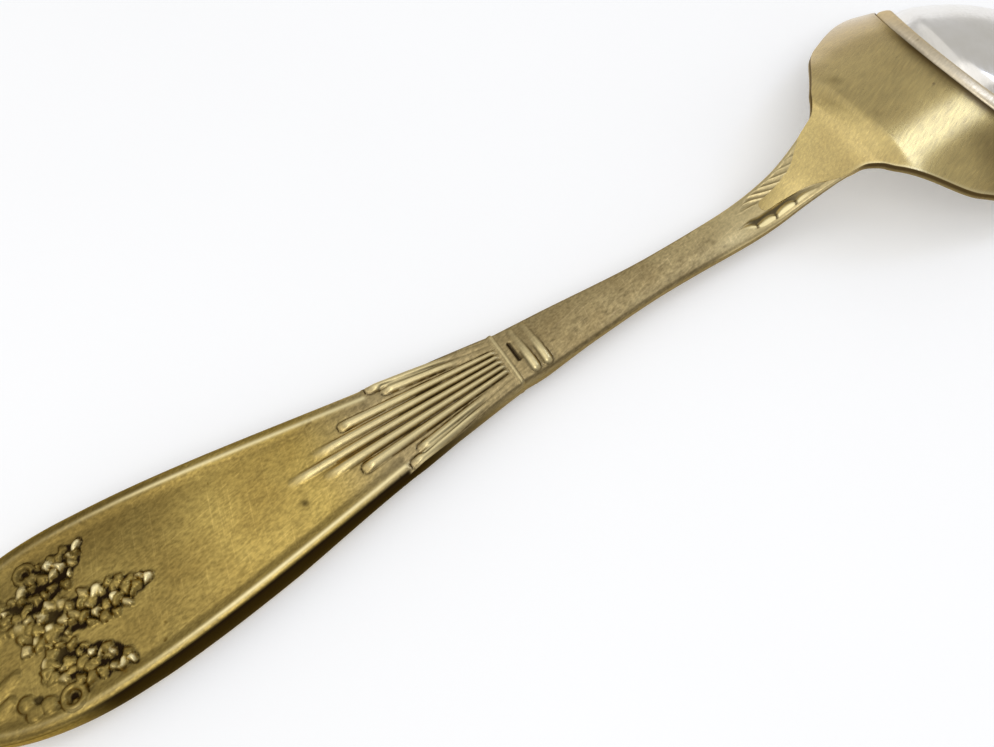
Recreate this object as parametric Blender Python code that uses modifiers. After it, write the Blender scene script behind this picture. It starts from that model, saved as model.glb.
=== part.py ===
"""Sugar spoon lying face down: struck brass handle, brass heel cradle, plated bowl and a wire over the seam.

Metres, +Z up, +X from the handle to the bowl. The back of the spoon faces up. Places along the spoon are
measured from the collar where the reeds end.
"""

import math

import bmesh
import bpy
import numpy as np
from mathutils import Vector

MM = 0.001

# Places along the spoon, from the collar
HANDLE_LENGTH = 62.0 * MM
HANDLE_END_ROUND = 18.0 * MM
WAIST_AT = 20.0 * MM
RAMP_START = 27.0 * MM
NECK_START = 35.8 * MM
NECK_END = 42.1 * MM
HEEL_AT = 44.3 * MM
RAMP_END = 46.0 * MM
SHOULDER_AT = 52.1 * MM
CREST_AT = 56.0 * MM
LIP_AT = 57.2 * MM
BOWL_WIDEST_AT = 66.0 * MM
RIM_LEVEL_AT = 72.0 * MM
TIP_AT = 83.5 * MM

# Widths across the spoon
HANDLE_WIDTH = 17.8 * MM
COLLAR_WIDTH = 6.4 * MM
STEM_WIDTH = 4.46 * MM
NECK_WIDTH = 5.3 * MM
NECK_END_WIDTH = 8.1 * MM
HEEL_WIDTH = 13.2 * MM
SHOULDER_WIDTH = 26.2 * MM
BOWL_WIDTH = 35.6 * MM

# Heights of the back above the table
HANDLE_HEIGHT = 3.7 * MM
CREST_HEIGHT = 11.1 * MM
HEEL_EDGE_HEIGHT = 10.2 * MM
SHOULDER_EDGE_HEIGHT = 7.0 * MM
RIM_HEIGHT = 1.2 * MM
HANDLE_CROWN = 0.12 * MM
STEM_CROWN = 0.45 * MM

# Metal
HANDLE_END_THICKNESS = 2.2 * MM
HANDLE_THICKNESS = 3.9 * MM
HANDLE_TAPER_THICKNESS = 2.6 * MM
COLLAR_THICKNESS = 2.5 * MM
STEM_THICKNESS = 2.4 * MM
STEM_END_THICKNESS = 2.1 * MM
HANDLE_BELLY_AT = -35.0 * MM
HANDLE_TAPER_AT = -16.0 * MM
CRADLE_THICKNESS = 0.9 * MM
CRADLE_RIM_DEPTH = 0.9 * MM
BOWL_THICKNESS = 0.9 * MM
JOINT_GAP = 0.3 * MM

# Cradle, bowl and seam wire
STEM_END = 41.2 * MM
CRADLE_START = 41.9 * MM
LIP_SWEEP = 12.4 * MM
BOWL_BACK = 46.8 * MM
BOWL_SETBACK = 0.1
SEAM_WIRE_RADIUS = 0.85 * MM
SEAM_WIRE_REACH = 0.93

# Tongue of the cradle, let into the stem
TONGUE_TIP = 33.2 * MM
TONGUE_TIP_RADIUS = 0.75 * MM
TONGUE_MIDDLE_AT = 37.5 * MM
TONGUE_MIDDLE_WIDTH = 2.7 * MM
TONGUE_ROOT_WIDTH = 5.4 * MM
TONGUE_EDGE_DEPTH = 0.25 * MM

# Relief of the handle
RELIEF_SINK = 0.1 * MM
REED_RADIUS = 0.48 * MM
REED_COLLAR_RADIUS = 0.27 * MM
REED_END = -1.0 * MM
REED_SPREAD = 0.62 * MM
REED_TIPS = ((-25.0, 0.0), (-21.7, 1.3), (-18.2, 2.55), (-13.2, 3.75))
SIDE_REED_TIP = (-15.1, 4.75)
BORDER_RADIUS = 0.5 * MM
BORDER_INSET = 0.75 * MM
BORDER_FROM_END = 4.5 * MM
BORDER_END = -16.5 * MM
RIDGE_RADIUS = 0.42 * MM
RIDGE_PLACES = (1.3, 2.9)
BLOSSOM_HEIGHT = 0.45

# Blossoms: distance from the handle's end, distance from the centre line, radius
CENTRE_BLOSSOMS = ((20.8, 0.0, 0.9), (18.0, 1.0, 1.0), (16.4, -1.2, 1.1), (13.6, 1.3, 1.2), (11.6, -1.4, 1.3))
SIDE_BLOSSOMS = ((16.8, 5.3, 0.9), (14.1, 4.7, 1.0), (11.4, 5.2, 1.1), (8.8, 4.1, 1.2))


def smooth_through(points):
    """A curve through the points that never overshoots them."""
    xs = np.array([point[0] for point in points])
    ys = np.array([point[1] for point in points])
    steps = np.diff(xs)
    rises = np.diff(ys) / steps
    slopes = np.zeros(len(xs))
    for i in range(1, len(xs) - 1):
        if rises[i - 1] * rises[i] > 0.0:
            slopes[i] = 2.0 * rises[i - 1] * rises[i] / (rises[i - 1] + rises[i])

    def curve(x):
        x = min(max(x, xs[0]), xs[-1])
        i = min(int(np.searchsorted(xs, x, side="right")) - 1, len(steps) - 1)
        s = (x - xs[i]) / steps[i]
        start = (1.0 + 2.0 * s) * (1.0 - s) ** 2 * ys[i] + s * (1.0 - s) ** 2 * steps[i] * slopes[i]
        end = s * s * (3.0 - 2.0 * s) * ys[i + 1] + s * s * (s - 1.0) * steps[i] * slopes[i + 1]
        return float(start + end)

    return curve


def smooth_step(s):
    s = min(max(s, 0.0), 1.0)
    return s * s * (3.0 - 2.0 * s)


HANDLE_WIDEST_AT = HANDLE_END_ROUND - HANDLE_LENGTH
TIP_ROUND = TIP_AT - BOWL_WIDEST_AT
CENTRE_SHIFT = (HANDLE_LENGTH - TIP_AT + CRADLE_THICKNESS + JOINT_GAP) / 2.0

stem_width = smooth_through((
    (0.0, COLLAR_WIDTH),
    (WAIST_AT, STEM_WIDTH),
    (NECK_START, NECK_WIDTH),
    (NECK_END, NECK_END_WIDTH),
    (HEEL_AT, HEEL_WIDTH),
    (SHOULDER_AT, SHOULDER_WIDTH),
    (BOWL_WIDEST_AT, BOWL_WIDTH),
))
edge_height = smooth_through((
    (HEEL_AT, HEEL_EDGE_HEIGHT),
    (SHOULDER_AT, SHOULDER_EDGE_HEIGHT),
    (RIM_LEVEL_AT, RIM_HEIGHT),
))
crown_of = smooth_through(((-3.0 * MM, HANDLE_CROWN), (4.0 * MM, STEM_CROWN)))
fullness_of = smooth_through(((-3.0 * MM, 2.0), (4.0 * MM, 2.2)))
handle_thickness = smooth_through((
    (-HANDLE_LENGTH, HANDLE_END_THICKNESS),
    (HANDLE_BELLY_AT, HANDLE_THICKNESS),
    (HANDLE_TAPER_AT, HANDLE_TAPER_THICKNESS),
    (0.0, COLLAR_THICKNESS),
    (WAIST_AT, STEM_THICKNESS),
    (STEM_END, STEM_END_THICKNESS),
))
tongue_width = smooth_through((
    (TONGUE_TIP + TONGUE_TIP_RADIUS, 2.0 * TONGUE_TIP_RADIUS),
    (TONGUE_MIDDLE_AT, TONGUE_MIDDLE_WIDTH),
    (STEM_END, TONGUE_ROOT_WIDTH),
))


def half_width(x):
    if x < HANDLE_WIDEST_AT:
        s = (HANDLE_WIDEST_AT - x) / HANDLE_END_ROUND
        return HANDLE_WIDTH / 2.0 * math.sqrt(max(1.0 - s * s, 0.0))
    if x < 0.0:
        s = 1.0 - x / HANDLE_WIDEST_AT
        taper = (1.0 - s) * (1.0 + 0.75 * s * (1.0 - s) ** 2)
        return (COLLAR_WIDTH + (HANDLE_WIDTH - COLLAR_WIDTH) * taper) / 2.0
    if x < BOWL_WIDEST_AT:
        return stem_width(x) / 2.0
    s = (x - BOWL_WIDEST_AT) / TIP_ROUND
    return BOWL_WIDTH / 2.0 * math.sqrt(max(1.0 - s * s, 0.0))


def middle_height(x):
    """Height of the back on the centre line."""
    if x < CREST_AT:
        s = min(max((x - RAMP_START) / (RAMP_END - RAMP_START), 0.0), 1.0)
        return HANDLE_HEIGHT + (CREST_HEIGHT - HANDLE_HEIGHT) * smooth_step(s ** 1.7)
    s = min((x - CREST_AT) / (TIP_AT - CREST_AT), 1.0)
    return RIM_HEIGHT + (CREST_HEIGHT - RIM_HEIGHT) * (1.0 - s ** 2.4) ** 0.7


def back_point(x, v):
    """Point on the back of the spoon. v runs from -1 at one edge to 1 at the other."""
    middle = middle_height(x)
    if x < HEEL_AT:
        drop = crown_of(x) * (1.0 - smooth_step((x - RAMP_START) / (HEEL_AT - RAMP_START)))
        drop *= min(half_width(x) / (STEM_WIDTH / 2.0), 1.0) ** 2
        drop += max(middle - HEEL_EDGE_HEIGHT, 0.0)
    else:
        drop = max(middle - edge_height(x), 0.0)
    y = half_width(x) * v
    return Vector((x, y, middle - drop * abs(v) ** fullness_of(x)))


def along(u):
    """Place along the spoon, with the round tip of the bowl spread evenly."""
    if u <= BOWL_WIDEST_AT:
        return u
    return BOWL_WIDEST_AT + TIP_ROUND * math.sin(min((u - BOWL_WIDEST_AT) / TIP_ROUND, math.pi / 2.0))


def back_normal(u, v):
    step = 0.02 * MM
    side = 0.004
    run = back_point(along(u + step), v) - back_point(along(u - step), v)
    across = back_point(along(u), min(v + side, 1.0)) - back_point(along(u), max(v - side, -1.0))
    return run.cross(across).normalized()


def lip_place(v):
    """Where the cradle ends at this v: a slanting cut, furthest back on the crest."""
    near, far = LIP_AT - 1.0 * MM, TIP_AT
    for _ in range(40):
        x = (near + far) / 2.0
        fallen = (CREST_HEIGHT - back_point(x, v).z) / (CREST_HEIGHT - RIM_HEIGHT)
        if x < LIP_AT + LIP_SWEEP * fallen:
            near = x
        else:
            far = x
    return (near + far) / 2.0


def placed(point):
    return Vector((point.x + CENTRE_SHIFT, point.y, point.z))


def object_from(name, mesh, collection):
    obj = bpy.data.objects.new(name, mesh)
    collection.objects.link(obj)
    return obj


def sheet(name, rows, collection, weights=None):
    """Open sheet through rows of points, facing up."""
    mesh = bpy.data.meshes.new(name)
    columns = len(rows[0])
    points = [placed(point) for row in rows for point in row]
    faces = []
    for i in range(len(rows) - 1):
        for j in range(columns - 1):
            a = i * columns + j
            faces.append((a, a + columns, a + columns + 1, a + 1))
    mesh.from_pydata(points, [], faces)
    obj = object_from(name, mesh, collection)
    if weights:
        group = obj.vertex_groups.new(name="thickness")
        for i, weight in enumerate(weights):
            group.add(list(range(i * columns, (i + 1) * columns)), weight, "REPLACE")
    return obj


def thicken(obj, thickness, use_group=False):
    modifier = obj.modifiers.new("thickness", "SOLIDIFY")
    modifier.thickness = thickness
    modifier.offset = -1.0
    modifier.use_even_offset = not use_group
    modifier.use_quality_normals = True
    if use_group:
        modifier.vertex_group = "thickness"


def boolean(obj, operation, other=None, collection=None):
    modifier = obj.modifiers.new(operation.lower(), "BOOLEAN")
    modifier.operation = operation
    modifier.solver = "EXACT"
    if collection:
        modifier.operand_type = "COLLECTION"
        modifier.collection = collection
    else:
        modifier.object = other


def rod_mesh(name, points, radii, sides):
    """Round rod through the points, closed at both ends."""
    curve = bpy.data.curves.new(name, "CURVE")
    curve.dimensions = "3D"
    curve.bevel_depth = 1.0
    curve.bevel_resolution = sides // 2 - 2
    curve.use_fill_caps = True
    spline = curve.splines.new("POLY")
    spline.points.add(len(points) - 1)
    for spot, point, radius in zip(spline.points, points, radii):
        spot.co = (*placed(point), 1.0)
        spot.radius = radius
    guide = bpy.data.objects.new(name, curve)
    bpy.context.scene.collection.objects.link(guide)
    bpy.context.view_layer.update()
    mesh = bpy.data.meshes.new_from_object(guide.evaluated_get(bpy.context.evaluated_depsgraph_get()))
    bpy.data.objects.remove(guide)
    bpy.data.curves.remove(curve)
    shape = bmesh.new()
    shape.from_mesh(mesh)
    bmesh.ops.remove_doubles(shape, verts=shape.verts, dist=1e-6)
    bmesh.ops.recalc_face_normals(shape, faces=shape.faces)
    shape.to_mesh(mesh)
    shape.free()
    mesh.name = name
    return mesh


def on_back(x, y, lift=0.0):
    point = back_point(x, y / half_width(x))
    return Vector((point.x, point.y, point.z + lift))


def metal(name, colour, roughness):
    material = bpy.data.materials.new(name)
    material.use_nodes = True
    shader = material.node_tree.nodes["Principled BSDF"]
    shader.inputs["Base Color"].default_value = (*colour, 1.0)
    shader.inputs["Metallic"].default_value = 1.0
    shader.inputs["Roughness"].default_value = roughness
    return material


def spread(start, end, count):
    return [start + (end - start) * i / (count - 1) for i in range(count)]


def tongue_outline(clearance):
    """Places and half widths along the tongue, from its round tip to its root."""
    radius = TONGUE_TIP_RADIUS + clearance
    centre = TONGUE_TIP + TONGUE_TIP_RADIUS
    outline = []
    for angle in (25.0, 55.0, 80.0):
        turn = math.radians(angle)
        outline.append((centre - radius * math.cos(turn), radius * math.sin(turn)))
    for x in spread(centre + 0.6 * MM, STEM_END, 6):
        outline.append((x, tongue_width(x) / 2.0 + clearance))
    return outline


def make_handle(collection, helpers, relief):
    rows = []
    weights = []
    ends = [HANDLE_WIDEST_AT - HANDLE_END_ROUND * math.sin(math.radians(a)) for a in (84, 74, 63, 50, 35, 18)]
    places = ends + spread(HANDLE_WIDEST_AT, 0.0, 12) + spread(0.0, NECK_START, 10)[1:]
    places += spread(NECK_START, STEM_END, 5)[1:]
    for x in places:
        rows.append([back_point(x, v) for v in (-1.0, -0.92, -0.75, -0.4, 0.0, 0.4, 0.75, 0.92, 1.0)])
        weights.append(handle_thickness(x))
    thickest = max(weights)
    handle = sheet("handle", rows, collection, [weight / thickest for weight in weights])
    thicken(handle, thickest, use_group=True)

    pocket_rows = []
    outline = tongue_outline(JOINT_GAP)
    outline.append((STEM_END + 1.0 * MM, outline[-1][1]))
    for x, reach in outline:
        pocket_rows.append([on_back(x, reach * v, lift=1.0 * MM) for v in (-1.0, -0.5, 0.0, 0.5, 1.0)])
    pocket = sheet("tongue_pocket", pocket_rows, helpers)
    thicken(pocket, CRADLE_THICKNESS + JOINT_GAP + 1.0 * MM)
    boolean(handle, "DIFFERENCE", pocket)

    make_relief(relief)
    boolean(handle, "UNION", collection=relief)
    return handle


def add_rod(relief, name, points, radii, sides=8):
    object_from(name, rod_mesh(name, points, radii, sides), relief)


def make_relief(relief):
    """Reeds, edge borders, collar ridges and blossoms, all half sunk in the handle."""
    reeds = [(x, y, i) for i, (x, y) in enumerate(REED_TIPS)]
    reeds.append((*SIDE_REED_TIP, len(REED_TIPS)))
    for x, y, rank in reeds:
        for side in (1.0, -1.0) if rank else (1.0,):
            tip = Vector((x * MM, side * y * MM))
            foot = Vector((REED_END, side * rank * REED_SPREAD))
            points = []
            radii = []
            for share, swell in ((0.0, 0.45), (0.02, 0.85), (0.06, 1.0), (0.35, 1.0), (0.7, 1.0), (1.0, 1.0)):
                spot = tip.lerp(foot, share)
                points.append(on_back(spot.x, spot.y, lift=-RELIEF_SINK))
                radii.append(swell * (REED_RADIUS + (REED_COLLAR_RADIUS - REED_RADIUS) * share))
            add_rod(relief, "reed", points, radii)

    for side in (1.0, -1.0):
        points = []
        radii = []
        for i, x in enumerate(spread(BORDER_FROM_END - HANDLE_LENGTH, BORDER_END, 16)):
            points.append(on_back(x, side * (half_width(x) - BORDER_INSET), lift=-RELIEF_SINK))
            radii.append(BORDER_RADIUS * (0.6 if i in (0, 15) else 1.0))
        add_rod(relief, "border", points, radii)

    for place in RIDGE_PLACES:
        x = place * MM
        reach = half_width(x) - 0.1 * MM
        points = [on_back(x, reach * v, lift=-RELIEF_SINK) for v in (-1.0, -0.6, 0.0, 0.6, 1.0)]
        add_rod(relief, "ridge", points, [RIDGE_RADIUS] * 5)

    blossoms = list(CENTRE_BLOSSOMS) + list(SIDE_BLOSSOMS) + [(x, -y, size) for x, y, size in SIDE_BLOSSOMS]
    for x, y, size in blossoms:
        shape = bmesh.new()
        bmesh.ops.create_uvsphere(shape, u_segments=10, v_segments=6, radius=size * MM)
        bmesh.ops.scale(shape, vec=(1.0, 1.0, BLOSSOM_HEIGHT), verts=shape.verts)
        spot = on_back(x * MM - HANDLE_LENGTH, y * MM, lift=-RELIEF_SINK)
        bmesh.ops.translate(shape, vec=placed(spot), verts=shape.verts)
        mesh = bpy.data.meshes.new("blossom")
        shape.to_mesh(mesh)
        shape.free()
        object_from("blossom", mesh, relief)


def make_cradle(collection):
    rows = []
    columns = spread(-1.0, 1.0, 15)
    for x, reach in tongue_outline(0.0):
        rows.append([on_back(x, reach * v) for v in columns])
    rows.append([on_back(CRADLE_START - 0.4 * MM, TONGUE_ROOT_WIDTH / 2.0 * v) for v in columns])
    for x in (CRADLE_START, NECK_END + 0.6 * MM, HEEL_AT - 0.8 * MM, HEEL_AT + 0.3 * MM, RAMP_END):
        rows.append([back_point(x, v) for v in columns])
    lips = [lip_place(v) for v in columns]
    for share in spread(0.0, 1.0, 10)[1:]:
        rows.append([back_point(RAMP_END + (lip - RAMP_END) * share, v) for lip, v in zip(lips, columns)])
    for row in rows:
        turned_down = TONGUE_EDGE_DEPTH if row[0].x < CRADLE_START else CRADLE_RIM_DEPTH
        row.insert(0, row[0] - Vector((0.0, 0.0, turned_down)))
        row.append(row[-1] - Vector((0.0, 0.0, turned_down)))
    cradle = sheet("heel_cradle", rows, collection)
    thicken(cradle, CRADLE_THICKNESS)
    return cradle


def make_bowl(collection, table):
    rows = []
    columns = spread(-1.0, 1.0, 17)
    depth = CRADLE_THICKNESS + JOINT_GAP
    tip_end = BOWL_WIDEST_AT + TIP_ROUND * math.radians(86.0)
    for u in spread(BOWL_BACK, BOWL_WIDEST_AT, 9) + spread(BOWL_WIDEST_AT, tip_end, 12)[1:]:
        free = smooth_step((along(u) - CREST_AT) / (RIM_LEVEL_AT - CREST_AT))
        reach = 1.0 - BOWL_SETBACK * (1.0 - free)
        row = []
        for column in columns:
            v = reach * math.sin(column * math.pi / 2.0)
            row.append(back_point(along(u), v) - depth * back_normal(u, v))
        rows.append(row)
    bowl = sheet("bowl", rows, collection)
    thicken(bowl, BOWL_THICKNESS)
    boolean(bowl, "DIFFERENCE", table)
    return bowl


def make_seam_wire(collection):
    lip_points = []
    normals = []
    for v in spread(-SEAM_WIRE_REACH, SEAM_WIRE_REACH, 33):
        x = lip_place(v)
        lip_points.append(back_point(x, v))
        normals.append(back_normal(x, v))
    depth = CRADLE_THICKNESS - SEAM_WIRE_RADIUS
    points = []
    for i, (point, normal) in enumerate(zip(lip_points, normals)):
        before = lip_points[max(i - 1, 0)]
        after = lip_points[min(i + 1, len(lip_points) - 1)]
        forward = (after - before).cross(normal).normalized()
        points.append(point + forward * (JOINT_GAP + SEAM_WIRE_RADIUS) - normal * depth)
    mesh = rod_mesh("seam_wire", points, [SEAM_WIRE_RADIUS] * len(points), 10)
    return object_from("seam_wire", mesh, collection)


def new_collection(name, hidden=False):
    collection = bpy.data.collections.new(name)
    bpy.context.scene.collection.children.link(collection)
    collection.hide_render = hidden
    return collection


def make_table_cutter(helpers):
    """Block under the table, so that the rim is ground flat where it rests."""
    mesh = bpy.data.meshes.new("table_cutter")
    shape = bmesh.new()
    bmesh.ops.create_cube(shape, size=1.0)
    length = HANDLE_LENGTH + TIP_AT + 20.0 * MM
    deep = 10.0 * MM
    bmesh.ops.scale(shape, vec=(length, BOWL_WIDTH + 20.0 * MM, deep), verts=shape.verts)
    bmesh.ops.translate(shape, vec=(0.0, 0.0, -deep / 2.0), verts=shape.verts)
    shape.to_mesh(mesh)
    shape.free()
    return object_from("table_cutter", mesh, helpers)


def main():
    for obj in list(bpy.data.objects):
        bpy.data.objects.remove(obj)
    spoon = new_collection("sugar_spoon")
    helpers = new_collection("cutters", hidden=True)
    relief = new_collection("relief", hidden=True)
    table = make_table_cutter(helpers)

    handle = make_handle(spoon, helpers, relief)
    boolean(handle, "DIFFERENCE", table)
    cradle = make_cradle(spoon)
    bowl = make_bowl(spoon, table)
    wire = make_seam_wire(spoon)

    handle.data.materials.append(metal("handle_brass", (0.62, 0.47, 0.18), 0.32))
    cradle.data.materials.append(metal("cradle_brass", (0.62, 0.47, 0.18), 0.28))
    bowl.data.materials.append(metal("bowl_plate", (0.82, 0.81, 0.78), 0.15))
    wire.data.materials.append(metal("wire_brass", (0.66, 0.55, 0.33), 0.3))
    for collection in (helpers, relief):
        for obj in collection.objects:
            obj.hide_render = True
            obj.display_type = "WIRE"


main()
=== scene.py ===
"""Looks of the sugar spoon: struck brass handle, heel cradle, plated bowl and seam wire on a pale floor.

Sizes are in millimetres until a mesh is made. Places along the spoon are measured from the collar, and the
near side has y below 0. A run is a start and a length, over which something changes smoothly.
"""

import math

import bmesh
import bpy
import numpy as np
from mathutils import Matrix, Vector


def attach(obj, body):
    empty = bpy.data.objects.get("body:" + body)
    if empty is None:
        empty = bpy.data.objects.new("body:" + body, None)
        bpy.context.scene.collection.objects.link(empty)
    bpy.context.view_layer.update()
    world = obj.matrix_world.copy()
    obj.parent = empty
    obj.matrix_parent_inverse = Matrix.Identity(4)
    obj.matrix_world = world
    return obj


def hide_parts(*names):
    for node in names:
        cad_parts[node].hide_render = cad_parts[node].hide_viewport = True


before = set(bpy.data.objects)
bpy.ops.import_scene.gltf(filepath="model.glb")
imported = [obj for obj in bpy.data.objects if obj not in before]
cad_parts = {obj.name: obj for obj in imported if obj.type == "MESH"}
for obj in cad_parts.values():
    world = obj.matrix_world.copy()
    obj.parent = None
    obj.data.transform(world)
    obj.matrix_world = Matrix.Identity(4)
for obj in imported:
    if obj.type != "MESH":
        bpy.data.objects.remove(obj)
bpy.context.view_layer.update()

# Places along the spoon
HANDLE_LENGTH = 62.0
HANDLE_END_ROUND = 18.0
WAIST_AT = 20.0
RAMP_START = 27.0
NECK_START = 35.8
NECK_END = 42.1
HEEL_AT = 44.3
RAMP_END = 46.0
SHOULDER_AT = 52.1
CREST_AT = 56.0
LIP_AT = 57.2
BOWL_WIDEST_AT = 66.0
RIM_LEVEL_AT = 72.0
TIP_AT = 83.5

# Widths
HANDLE_WIDTH = 17.8
HANDLE_BULGE = 0.25
COLLAR_WIDTH = 6.4
STEM_WIDTH = 4.46
NECK_WIDTH = 5.3
NECK_END_WIDTH = 8.1
HEEL_WIDTH = 13.2
SHOULDER_WIDTH = 26.2
BOWL_WIDTH = 35.6

# Heights above the floor
HANDLE_HEIGHT = 3.7
CREST_HEIGHT = 11.1
HEEL_EDGE_HEIGHT = 10.2
SHOULDER_EDGE_HEIGHT = 7.0
RIM_HEIGHT = 1.2
HANDLE_CROWN = 0.12
STEM_CROWN = 0.45

# Fullness of the curves
HANDLE_END_POWER = 2.4
HANDLE_TAPER_FULLNESS = 0.75
RAMP_POWER = 1.7
DOME_POWER = 2.4
DOME_FULLNESS = 0.7
CROWN_CHANGE = (-3.0, 4.0)
HANDLE_FULLNESS = 2.0
STEM_FULLNESS = 2.2

# Metal
HANDLE_END_THICKNESS = 2.2
HANDLE_THICKNESS = 3.9
HANDLE_TAPER_THICKNESS = 2.6
COLLAR_THICKNESS = 2.5
STEM_THICKNESS = 2.4
STEM_END_THICKNESS = 1.35
HANDLE_BELLY_AT = -35.0
HANDLE_TAPER_AT = -16.0
STEM_TAPER_AT = 33.0
CRADLE_THICKNESS = 0.9
CRADLE_RIM_DEPTH = 0.9
TONGUE_RIM_DEPTH = 0.2
JOINT_GAP = 0.3
LIP_SWEEP = 12.4

# Bowl
BOWL_THICKNESS = 0.9
BOWL_BACK = 46.8
BOWL_SETBACK = 0.1
BOWL_BACK_ROUND = 0.3
BOWL_BACK_RUN = (BOWL_BACK, 6.0)
BOWL_STEP = 0.25
BOWL_RISE = 3.4

# Seam wire
WIRE_HALF_WIDTH = 0.95
WIRE_HALF_HEIGHT = 0.5
WIRE_PROUD = 0.14
WIRE_GAP = 0.1
WIRE_REACH = 0.93
WIRE_TAPER = 0.1
WIRE_TIP = 0.03
WIRE_TIP_REACH = 1.004
WIRE_SQUARENESS = 0.75
WIRE_SHADE = 0.8
WIRE_SHADE_POWER = 6

# Tongue of the cradle and the pocket around it
STEM_END = 41.7
TONGUE_TIP = 33.2
TONGUE_TIP_RADIUS = 0.75
TONGUE_MIDDLE_AT = 37.5
TONGUE_MIDDLE_WIDTH = 2.7
TONGUE_LAP = 0.12
TONGUE_PROUD = 0.04
TONGUE_PROUD_FADE = (STEM_END, 2.0)
POCKET_DEPTH = 1.0

# Edges, border and panel of the handle
EDGE_ROUND = 0.3
BORDER_ROUND = 0.75
FAR_BORDER_ROUND = 1.15
BORDER_DROP = 0.55
BORDER_HEIGHT = 0.14
BORDER_COVE = 1.2
BORDER_END = -14.6
BORDER_FADE = 0.5
SIDE_BLEND = 6.0
PANEL_SINK = 0.2
PANEL_FADE = (-26.0, 10.0)

# Walls and underside of the handle
WALL_SHARES = (0.04, 0.15, 0.4, 0.7, 0.92)
WALL_SWELL = 0.15
WALL_END_SWELL = 0.04
WALL_SWELL_FADE = (STEM_END - 4.0, 4.0)
NARROW_HALF = 2.0
STEM_TUCK = 0.5
STEM_TUCK_RUN = (1.0, 8.0)
STEM_TUCK_LOSS = 0.6
STEM_TUCK_FADE = (34.0, 7.0)
STEM_TUCK_POWER = 1.5
UNDER_LEVEL = 0.4
UNDER_DEPTH = 0.8
UNDER_ECHO = 0.6

# Reeds
REED_TIPS = ((-25.0, 0.0), (-21.7, 1.3), (-18.2, 2.55), (-12.7, 3.75), (-14.0, 4.75))
REED_FOOT_AT = -0.95
REED_FOOT_RUN = 0.7
REED_SPREAD = 0.62
REED_HALF = 0.6
REED_FOOT_HALF = 0.3
REED_HEIGHT = 0.36
REED_FOOT_HEIGHT = 0.2
REED_TIP_SHARE = 0.35
REED_SOFT_RANKS = 2
REED_SOFT_TIP = 4.5
REED_CRISP_TIP = 1.2
REED_WORN_RANK = 3
REED_WORN = 0.85
REED_WORN_RUN = (0.45, 0.3)
GROOVE_HALF = 0.08
GROOVE_DEPTH = 0.12
GROOVE_START = 0.2
GROOVE_DEEPENING = 1.6
GROOVE_TIP = 2.5

# Collar
COLLAR_LINE_AT = -0.6
COLLAR_LINE_HALF = 0.24
COLLAR_LINE_HEIGHT = 0.26
RIDGES_AT = (1.5, 3.0)
RIDGE_HALF = 0.56
RIDGE_HEIGHT = 0.44
RIDGE_INSET = 0.8
RIDGE_WORN_HALF = 0.6
RIDGE_WORN_HEIGHT = 0.3
RIDGE_WORN_RUN = (-1.4, 3.0)
RIDGE_GROOVE = 0.13
SLOT_ENDS = ((0.55, 1.3), (0.55, -0.8))
SLOT_EDGE = (0.1, 0.15)
SLOT_DEPTH = 0.3

# Sprays of buds: tip, root and spread
SPRAYS = (
    ((-40.1, -0.8), (-51.8, 0.1), 1.4),
    ((-44.6, 5.7), (-53.4, 0.8), 1.6),
    ((-43.7, -6.6), (-51.2, -2.6), 1.4),
)
SPRAY_SEED = 5
SPRAY_FADE = 0.2
SPRAY_FADE_RUN = (0.6, 0.4)
HULL_TIP = 0.3
HULL_WIDENING = 3.0
HULL_MARGIN = 0.05
HULL_SOFTNESS = 0.35
HULL_END = (0.75, 0.25)
BUD_LANES = (-1.0, -0.5, 0.0, 0.5, 1.0)
BUD_PITCH = 1.12
BUD_SPREADING = 0.25
BUD_FULLNESS = 0.6
BUD_RADIUS = 0.5
BUD_RADII = (0.75, 1.25)
BUD_HEIGHT = 0.58
BUD_HEIGHTS = (0.55, 1.15)
BUD_JITTER = 0.2
BUD_LOSS = 0.14
BUD_WOBBLE = 0.12
BUD_RIPPLE = 0.07
BUD_FOOT = 0.05
BUD_DULLNESS = 0.4
# Painted highlights on the tops of some buds
BUD_BRIGHTNESS = 0.95
BUD_BRIGHT_RUN = (0.2, 0.2)
PIT_DEPTH = 0.18
PIT_RUN = (0.03, 0.2)

# Leaflets below the sprays: foot and head
LEAFLETS = (
    ((-56.4, -3.8), (-53.0, -2.6)),
    ((-57.0, -5.6), (-54.0, -4.4)),
    ((-57.0, 0.4), (-53.2, 1.4)),
)
LEAFLET_HALF = 0.75
LEAFLET_END_SHARE = 0.75
LEAFLET_HEIGHT = 0.26
LEAFLET_GROOVE = 0.12
LEAFLET_GRIME = 0.5

# Rings, trefoils and rosettes round the sprays: place, side and radius
RINGS = ((-49.2, -7.0, 0.9), (-49.6, 5.6, 0.8))
RING_HALF = 0.34
RING_HEIGHT = 0.4
RING_HOLE = 0.35
RING_HOLE_EDGE = 0.3
RING_BEAD_SHIFT = 0.45
RING_BEAD_RADIUS = 0.3
RING_BEAD_HEIGHT = 0.3
TREFOILS = ((-51.9, -5.6, 1.05), (-53.4, 4.7, 1.05))
TREFOIL_TURNS = (-0.95, -2.2, 2.95)
TREFOIL_PETAL = 0.78
TREFOIL_HEIGHT = 0.45
TREFOIL_PIT = (0.3, 0.3)
TREFOIL_GRIME = 0.9
ROSETTES = ((-56.4, -2.4, 1.5), (-57.2, 2.2, 1.4))
ROSETTE_PETALS = 5
ROSETTE_REACH = 0.7
ROSETTE_PETAL = 0.5
ROSETTE_HEIGHT = 0.5
ROSETTE_EYE = 0.3
ROSETTE_EYE_HEIGHT = 0.55
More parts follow.
